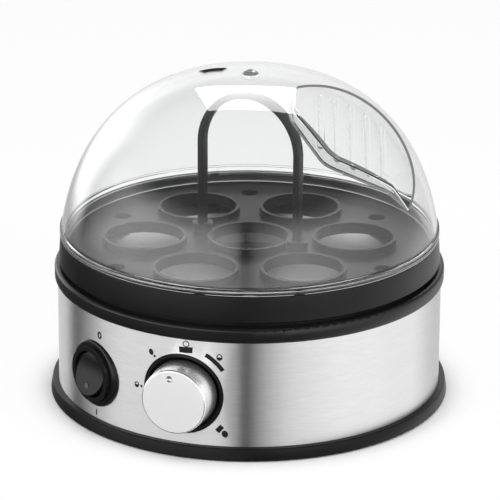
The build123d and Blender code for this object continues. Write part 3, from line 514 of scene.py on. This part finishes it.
def rib_tree():
    """Geometry nodes that thicken straight lines into bars with rounded ends."""
    tree = bpy.data.node_groups.new("grip_rib_bars", "GeometryNodeTree")
    face = tree.interface
    face.new_socket("Lines", in_out="INPUT", socket_type="NodeSocketGeometry")
    for name, kind, value in (("Rib radius", "NodeSocketFloat", 1.6 * MM),
                              ("End length", "NodeSocketFloat", 0.05),
                              ("Steps along", "NodeSocketInt", 40),
                              ("Steps round", "NodeSocketInt", 20)):
        face.new_socket(name, in_out="INPUT", socket_type=kind).default_value = value
    face.new_socket("Finish", in_out="INPUT", socket_type="NodeSocketMaterial").default_value = CLEAR
    face.new_socket("Ribs", in_out="OUTPUT", socket_type="NodeSocketGeometry")

    def add(kind, links, **settings):
        new = tree.nodes.new(kind)
        for key, value in settings.items():
            setattr(new, key, value)
        for key, value in links.items():
            if isinstance(value, bpy.types.NodeSocket):
                tree.links.new(value, new.inputs[key])
            else:
                new.inputs[key].default_value = value
        return new.outputs[0]

    start = tree.nodes.new("NodeGroupInput").outputs
    curve = add("GeometryNodeMeshToCurve", {"Mesh": start["Lines"]})
    fine = add("GeometryNodeResampleCurve", {"Curve": curve, "Count": start["Steps along"]})
    along = add("GeometryNodeSplineParameter", {})
    back = add("ShaderNodeMath", {0: 1.0, 1: along}, operation="SUBTRACT")
    near = add("ShaderNodeMath", {0: along, 1: back}, operation="MINIMUM")
    share = add("ShaderNodeMath", {0: near, 1: start["End length"]}, operation="DIVIDE", use_clamp=True)
    rest = add("ShaderNodeMath", {0: 1.0, 1: share}, operation="SUBTRACT")
    square = add("ShaderNodeMath", {0: rest, 1: rest}, operation="MULTIPLY")
    under = add("ShaderNodeMath", {0: 1.02, 1: square}, operation="SUBTRACT")
    ease = add("ShaderNodeMath", {0: under}, operation="SQRT")
    sized = add("GeometryNodeSetCurveRadius", {"Curve": fine, "Radius": ease})
    ring = add("GeometryNodeCurvePrimitiveCircle",
               {"Resolution": start["Steps round"], "Radius": start["Rib radius"]})
    scale = {"Scale": ease} if bpy.app.version >= (4, 4, 0) else {}
    bars = add("GeometryNodeCurveToMesh",
               {"Curve": sized, "Profile Curve": ring, "Fill Caps": True, **scale})
    real = add("GeometryNodeRealizeInstances", {"Geometry": bars})
    finished = add("GeometryNodeSetMaterial", {"Geometry": real, "Material": start["Finish"]})
    tree.links.new(finished, tree.nodes.new("NodeGroupOutput").inputs[0])
    return tree


def grip_ribs():
    """Rounded ribs on the pocket's floor, each in an upright plane and short of the wall and the edge."""
    first_rib, rib_pitch, rib_count, rib_level = 30.4, 6.7, 5, -0.5
    along = Vector((-ACROSS.x, DOWN.x)).normalized()
    side = Vector((along.y, -along.x))
    foot = in_pocket(0, 0, 0)
    per_side = (in_pocket(side.x, side.y, 0) - foot).x
    verts, edges = [], []
    for i in range(rib_count):
        point = side * ((first_rib + rib_pitch * i - foot.x) / per_side)
        reach = [step / 4 for step in range(-600, 600) if on_floor(point + along * (step / 4))]
        edges.append((len(verts), len(verts) + 1))
        for end in (min(reach), max(reach)):
            place = point + along * end
            verts.append(in_pocket(place.x, place.y, rib_level) * MM)
    lines = bpy.data.meshes.new("grip_ribs")
    lines.from_pydata(verts, edges, [])
    ribs = bpy.data.objects.new("grip_ribs", lines)
    bpy.context.scene.collection.objects.link(ribs)
    ribs.modifiers.new("grip_rib_bars", "NODES").node_group = rib_tree()
    bake(ribs)
    return ribs


def on_floor(point):
    """Whether a rib may stand at a point of the floor: clear of the wall, and clear of the dome's edge."""
    wall_gap, edge_gap = 3.6, 2.6
    inside = False
    count = len(POCKET_OUTLINE)
    for i in range(count):
        p, q = POCKET_OUTLINE[i], POCKET_OUTLINE[(i + 1) % count]
        span = q - p
        t = max(0, min(1, (point - p).dot(span) / span.length_squared))
        if (point - p - span * t).length < wall_gap:
            return False
        if (p.y > point.y) != (q.y > point.y):
            crossing = (q.x - p.x) * (point.y - p.y) / (q.y - p.y) + p.x
            inside = inside != (point.x < crossing)
    place = in_pocket(point.x, point.y, 0)
    around, up = math.hypot(place.x, place.y), place.z - DOME_FOOT
    if not inside or up <= 0 or up >= DOME_RISE - edge_gap:
        return False
    fill = (around / (DOME_RADIUS - edge_gap)) ** DOME_POWER + (up / (DOME_RISE - edge_gap)) ** DOME_POWER
    return fill < 1


def vent_tool():
    """The curved steam slot's space, through the crown. Its faces are dark, and the slot's walls take this
    painted shade.
    """
    centre_x, centre_y, radius, arc, width = -16.2, 9.4 - 12.0, 12.0, math.radians(48), 5.4
    outline = []
    for side in (1, -1):
        reach = radius + side * width / 2
        for k in range(13):
            turn = math.pi / 2 - side * (arc / 2 - arc * k / 12)
            outline.append((centre_x + reach * math.cos(turn), centre_y + reach * math.sin(turn)))
    rings = [[Vector((x, y, z)) for x, y in outline] for z in (CROWN - 8, CROWN + 3)]
    return loft("vent_tool", rings, SLOT_PAINTED_SHADE)


def clear_lid():
    """The dome with its rim, spigot, nub, pocket, ribs and slot, as one closed mesh."""
    rows = 90
    rim = [(-0.35, 0), (-0.1, 0.1), (0, 0.35), (0, 1.5), (-0.1, 1.75), (-0.45, 1.9), (-0.5, 2.1), (-0.2, 2.3),
           (-0.1, 2.5), (-0.1, 3.0), (-0.2, 3.25), (-0.6, 3.4)]
    outer = [(0, SPIGOT_LOW), (SPIGOT_OUTER - 0.5, SPIGOT_LOW), (SPIGOT_OUTER, SPIGOT_LOW + 0.5),
             (SPIGOT_OUTER, TRAY_TOP)]
    outer += [(RIM_RADIUS + r, TRAY_TOP + z) for r, z in rim]
    nub_foot = 4.6
    curve = [p for p in dome_curve(0, TRAY_TOP + 3.5, rows) if p[0] > nub_foot]
    nub = [(r, CROWN + z) for r, z in ((4.1, 0), (3.7, 0.2), (3.4, 0.5), (3.2, 0.85), (2.8, 1.2), (2.2, 1.5),
                                       (1.5, 1.7), (1.1, 1.9), (0.8, 2.15), (0.4, 2.28), (0, 2.3))]
    inner = [(0, SPIGOT_LOW - 2), (SPIGOT_INNER, SPIGOT_LOW - 2), (SPIGOT_INNER, TRAY_TOP)]
    hollow = [p for p in dome_curve(WALL, TRAY_TOP + 3.5, rows) if p[0] > 1.0]
    lid = lathe("clear_lid", outer + curve + nub, STEPS, CLEAR)
    inside = lathe("lid_inside", inner + hollow + [(0, CROWN - WALL)], STEPS, CLEAR)
    combine(lid, pocket_tool("pocket_tool", 0), "DIFFERENCE")
    combine(inside, pocket_tool("pocket_wall_tool", WALL), "DIFFERENCE")
    combine(lid, inside, "DIFFERENCE")
    combine(lid, grip_ribs(), "UNION")
    combine(lid, vent_tool(), "DIFFERENCE")
    smooth(lid)
    bake(lid)
    return lid


lid = clear_lid()
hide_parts("lid_dome")
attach(lid, "lid")


# Printed marks on the steel band

BAND_RADIUS = 84.4
INK_PROUD = 0.04
INK_SUNK = 0.02
INK_SLICE = 0.4


def printed(name, outlines, centre_turn, centre_height):
    """Thin closed plates wrapped on the band, from outlines drawn flat and sliced so that they curve."""
    ink = bmesh.new()
    for outline in outlines:
        corners = [ink.verts.new((x, y, 0)) for x, y in outline]
        ink.faces.new(corners)
    left = min(v.co.x for v in ink.verts)
    right = max(v.co.x for v in ink.verts)
    cut = left + INK_SLICE
    while cut < right:
        everything = ink.verts[:] + ink.edges[:] + ink.faces[:]
        bmesh.ops.bisect_plane(ink, geom=everything, plane_co=(cut, 0, 0), plane_no=(1, 0, 0))
        cut += INK_SLICE
    thick = bmesh.ops.extrude_face_region(ink, geom=ink.faces[:])
    for v in thick["geom"]:
        if isinstance(v, bmesh.types.BMVert):
            v.co.z = INK_PROUD + INK_SUNK
    for v in ink.verts:
        turn = centre_turn + v.co.x / BAND_RADIUS
        reach = BAND_RADIUS + v.co.z - INK_SUNK
        v.co = Vector((reach * math.cos(turn), reach * math.sin(turn), centre_height + v.co.y)) * MM
    bmesh.ops.recalc_face_normals(ink, faces=ink.faces)
    mesh = bpy.data.meshes.new(name)
    ink.to_mesh(mesh)
    ink.free()
    mesh.materials.append(INK)
    marks = bpy.data.objects.new(name, mesh)
    bpy.context.scene.collection.objects.link(marks)
    return marks


def ellipse(cx, cy, rx, ry, tilt=0.0, first=0, last=360, steps=24):
    points = []
    lean = math.radians(tilt)
    for i in range(steps + (0 if last - first == 360 else 1)):
        turn = math.radians(first + (last - first) * i / steps)
        x, y = rx * math.cos(turn), ry * math.sin(turn)
        points.append((cx + x * math.cos(lean) - y * math.sin(lean),
                       cy + x * math.sin(lean) + y * math.cos(lean)))
    return points


def loop(cx, cy, rx, ry, line):
    """A ring drawn as two halves, so that each is one plain outline."""
    halves = []
    for first in (0, 180):
        outer = ellipse(cx, cy, rx, ry, 0, first, first + 181, 14)
        inner = ellipse(cx, cy, rx - line, ry - line, 0, first, first + 181, 14)
        halves.append(outer + inner[::-1])
    return halves


def stroke(points, width):
    """A band of even width along points."""
    left, right = [], []
    for i, (x, y) in enumerate(points):
        ax, ay = points[max(i - 1, 0)]
        bx, by = points[min(i + 1, len(points) - 1)]
        size = math.hypot(bx - ax, by - ay)
        nx, ny = -(by - ay) / size * width / 2, (bx - ax) / size * width / 2
        left.append((x + nx, y + ny))
        right.append((x - nx, y - ny))
    return left + right[::-1]


def polar_arc(radius, first, last, steps=12):
    return [(radius * math.cos(math.radians(first + (last - first) * i / steps)),
             radius * math.sin(math.radians(first + (last - first) * i / steps))) for i in range(steps + 1)]


def half_filled(cx, cy, rx, ry, line, first):
    """A ring with one half filled, from an angle on."""
    half = ellipse(cx, cy, rx - line / 2, ry - line / 2, 0, first, first + 180, 14)
    return loop(cx, cy, rx, ry, line) + [half]


ARC_RADIUS = 21.4
dial_marks = [
    [(-1.4, 21.2), (1.7, 21.3), (4.8, 21.5), (4.55, 18.85), (1.7, 18.6), (-1.15, 18.6)],
    stroke(polar_arc(ARC_RADIUS, 61, 34), 1.9),
    [(14.5, -15.0), (16.7, -12.5), (18.4, -13.8), (16.2, -16.5)],
    ellipse(18.7, -16.7, 1.35, 1.65, 20),
    ellipse(-14.4, 16.5, 1.05, 1.45, 20),
    ellipse(-12.75, 14.9, 0.55, 0.6, steps=10),
    ellipse(-19.4, -0.2, 0.6, 0.65, steps=10),
]
dial_marks += loop(1.8, 22.7, 1.5, 1.45, 0.4)
dial_marks += half_filled(16.3, 18.0, 1.3, 1.5, 0.45, 180)
dial_marks += half_filled(-21.8, 0.1, 1.15, 1.35, 0.45, 180)
dial_ink = printed("dial_scale_marks", dial_marks, DIAL_TURN, DIAL_HEIGHT)
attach(dial_ink, "base")

SWITCH_TURN, SWITCH_MIDDLE = math.radians(220.2), 26.6
switch_marks = [stroke([(-1.8, -19.6), (-1.8, -16.9)], 0.75)] + loop(0.95, 18.0, 1.35, 1.7, 0.8)
switch_ink = printed("switch_marks", switch_marks, SWITCH_TURN, SWITCH_MIDDLE)
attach(switch_ink, "base")


# Studio


AFTER_TURN = 0.6


def path_facts(tree):
    """Whether a ray is passing through clear plastic, and whether it was mirrored on its way."""
    through = tree.node("ShaderNodeLightPath", output="Is Transmission Ray")
    turned = tree.node("ShaderNodeLightPath", output="Glossy Depth") > 0.5
    return through, turned


def seen_straight(tree):
    """How white the studio looks: fully to the camera and through clear plastic, less after a turn in it."""
    camera = tree.node("ShaderNodeLightPath", output="Is Camera Ray")
    through, turned = path_facts(tree)
    bright = through * (1 - turned * (1 - AFTER_TURN))
    return tree.node("ShaderNodeMath", {"operation": "MAXIMUM"}, {0: camera, 1: bright})


def seen_mirrored(tree):
    """Reflections, and what leaves clear plastic after a turn inside it."""
    glossy = tree.node("ShaderNodeLightPath", output="Is Glossy Ray")
    through, turned = path_facts(tree)
    return tree.node("ShaderNodeMath", {"operation": "MAXIMUM"}, {0: glossy, 1: through * turned})


def studio_floor():
    """Pale paper. It looks white to the camera, keeps the object's shadow, and is open to reflections. Its
    white glow fades by ambient occlusion near the object, so the contact shadow there is partly the lamps'
    shadow and partly painted.
    """
    half = 20.0
    mesh = bpy.data.meshes.new("studio_floor")
    corners = [(-half, -half, 0), (half, -half, 0), (half, half, 0), (-half, half, 0)]
    mesh.from_pydata(corners, [], [(0, 1, 2, 3)])
    floor = bpy.data.objects.new("studio_floor", mesh)
    bpy.context.scene.collection.objects.link(floor)
    paper = Finish("white_paper_sweep", (0.92, 0.92, 0.92), roughness=0.9, specular_ior_level=0.1)
    glow = paper.node("ShaderNodeEmission", {}, {"Color": (1, 1, 1, 1), "Strength": 1.05})
    # Painted contact shadow, in part: the white glow is cut by ambient occlusion near the object, and the
    # lamp-lit paper shows through.
    occlusion_for_painted_contact_shadow = paper.node("ShaderNodeAmbientOcclusion", {"samples": 8}, {"Distance": 14 * MM}, output=1)
    white = seen_straight(paper) * 0.78 * occlusion_for_painted_contact_shadow * occlusion_for_painted_contact_shadow * occlusion_for_painted_contact_shadow
    plain = Sock(paper, paper.shader.outputs[0])
    lit = paper.node("ShaderNodeMixShader", {}, {0: white, 1: plain, 2: glow})
    mirrored = seen_mirrored(paper)
    opening = paper.node("ShaderNodeBsdfTransparent")
    both = paper.node("ShaderNodeMixShader", {}, {0: mirrored, 1: lit, 2: opening})
    paper.tree.links.new(both.socket, paper.output.inputs["Surface"])
    mesh.materials.append(paper.material)


# What reflections see round the object, by angle from the front towards the right, in degrees. Near the
# table the left is dim and the right is bright. Higher up there are pale walls, with gaps in front and at
# the left.
LOW_PEAK, HIGH_PEAK = 1.7, 3.3
LOW_WALL = [(-180, 1.0), (-172, 0.8), (-160, 0.25), (-150, 0.12), (-100, 0.08), (-12, 0.08), (0, 0.05),
            (15, 0.10), (30, 0.25), (57, 0.85), (86, 1.2), (115, 1.4), (142, 0.8), (165, 0.7), (180, 1.0)]
HIGH_WALL = [(-180, 0.9), (-172, 0.9), (-160, 1.4), (-141, 2.8), (-133, 2.4), (-122, 0.0), (-115, 0.5),
             (-106, 1.3), (-98, 2.1), (-90, 2.8), (-78, 3.3), (-22, 3.2), (-16, 3.0), (-11, 2.5), (-7, 1.4),
             (-4, 0.0), (-1, 0.0), (2, 0.6), (5, 1.2), (10, 1.8), (15, 2.3), (20, 2.7), (29, 2.9), (57, 2.1),
             (95, 0.9), (127, 0.6), (149, 0.6), (163, 0.7), (180, 0.9)]


def studio_world():
    """White to the camera and through clear plastic, even on surfaces, and the walls above to reflections."""
    world = bpy.data.worlds.new("studio")
    bpy.context.scene.world = world
    world.use_nodes = True
    world.node_tree.nodes.clear()
    sky = ShaderTree(world.node_tree)
    direction = sky.node("ShaderNodeTexCoord", output="Generated")
    x, y, z = (sky.node("ShaderNodeSeparateXYZ", {}, {0: direction}, output=i) for i in range(3))
    angle = sky.node("ShaderNodeMath", {"operation": "ARCTAN2"}, {0: x, 1: 0 - y})
    turn = angle / (2 * math.pi) + 0.5
    walls = []
    for wall, peak in ((LOW_WALL, LOW_PEAK), (HIGH_WALL, HIGH_PEAK)):
        stops = [(degrees / 360 + 0.5, level / peak) for degrees, level in wall]
        grey = sky.node("ShaderNodeValToRGB", {"stops": stops}, {0: turn})
        walls.append(sky.node("ShaderNodeBackground", {}, {"Color": grey, "Strength": peak}))
    lift = sky.node("ShaderNodeMapRange", {"interpolation_type": "SMOOTHSTEP"},
                    {"Value": z, "From Min": -0.24, "From Max": -0.02})
    rise = sky.node("ShaderNodeMapRange", {"interpolation_type": "SMOOTHSTEP"},
                    {"Value": z, "From Min": 0.28, "From Max": 0.6})
    ceiling = sky.node("ShaderNodeBackground", {}, {"Color": (1, 1, 1, 1), "Strength": 0.15})
    room = sky.node("ShaderNodeMixShader", {}, {0: lift, 1: walls[0], 2: walls[1]})
    room = sky.node("ShaderNodeMixShader", {}, {0: rise, 1: room, 2: ceiling})
    even = sky.node("ShaderNodeBackground", {}, {"Color": (1, 1, 1, 1), "Strength": 0.55})
    mirrored = seen_mirrored(sky)
    shown = sky.node("ShaderNodeMixShader", {}, {0: mirrored, 1: even, 2: room})
    white = sky.node("ShaderNodeBackground", {}, {"Color": (1, 1, 1, 1), "Strength": 1.0})
    shown = sky.node("ShaderNodeMixShader", {}, {0: seen_straight(sky), 1: shown, 2: white})
    output = world.node_tree.nodes.new("ShaderNodeOutputWorld")
    world.node_tree.links.new(shown.socket, output.inputs["Surface"])


def softbox(name, place, aim, width, height, power, only_reflections=False):
    """A rectangular lamp. It either lights surfaces or shows in reflections, and isn't seen itself."""
    light = bpy.data.lights.new(name, "AREA")
    light.shape = "RECTANGLE"
    light.size, light.size_y = width, height
    light.energy = power
    lamp = bpy.data.objects.new(name, light)
    lamp.location = place
    lamp.rotation_mode = "QUATERNION"
    lamp.rotation_quaternion = (Vector(aim) - Vector(place)).to_track_quat("-Z", "Y")
    lamp.visible_glossy = only_reflections
    lamp.visible_diffuse = not only_reflections
    lamp.visible_transmission = False
    bpy.context.scene.collection.objects.link(lamp)


studio_floor()
studio_world()
softbox("overhead_softbox", (0.0, -0.15, 1.0), (0, 0, 0.08), 0.7, 0.7, 2.5)
softbox("right_softbox", (0.95, -0.75, 0.55), (0, 0, 0.08), 0.5, 0.8, 5.0)
softbox("left_softbox", (-0.95, -0.75, 0.55), (0, 0, 0.08), 0.35, 0.8, 3.0)
softbox("crown_softbox", (0.14, 1.05, 1.15), (0, 0, 0.14), 0.95, 0.75, 18.0,
        only_reflections=True)

camera_data = bpy.data.cameras.new("camera")
camera_data.lens = 253.6
camera_data.sensor_width = 36.0
camera_data.clip_end = 100.0
camera = bpy.data.objects.new("camera", camera_data)
camera.location = (0.0, -1.4559, 0.5949)
forward = Vector((0.0, 0.9394, -0.3428)).normalized()
turn = forward.to_track_quat("-Z", "Y").to_matrix().to_4x4()
roll = Matrix.Rotation(math.radians(0.3), 4, "Z")
camera.matrix_world = Matrix.Translation(camera.location) @ turn @ roll
camera_data.shift_x = 0.001
bpy.context.scene.collection.objects.link(camera)
bpy.context.scene.camera = camera
bpy.context.scene.view_settings.view_transform = "Standard"
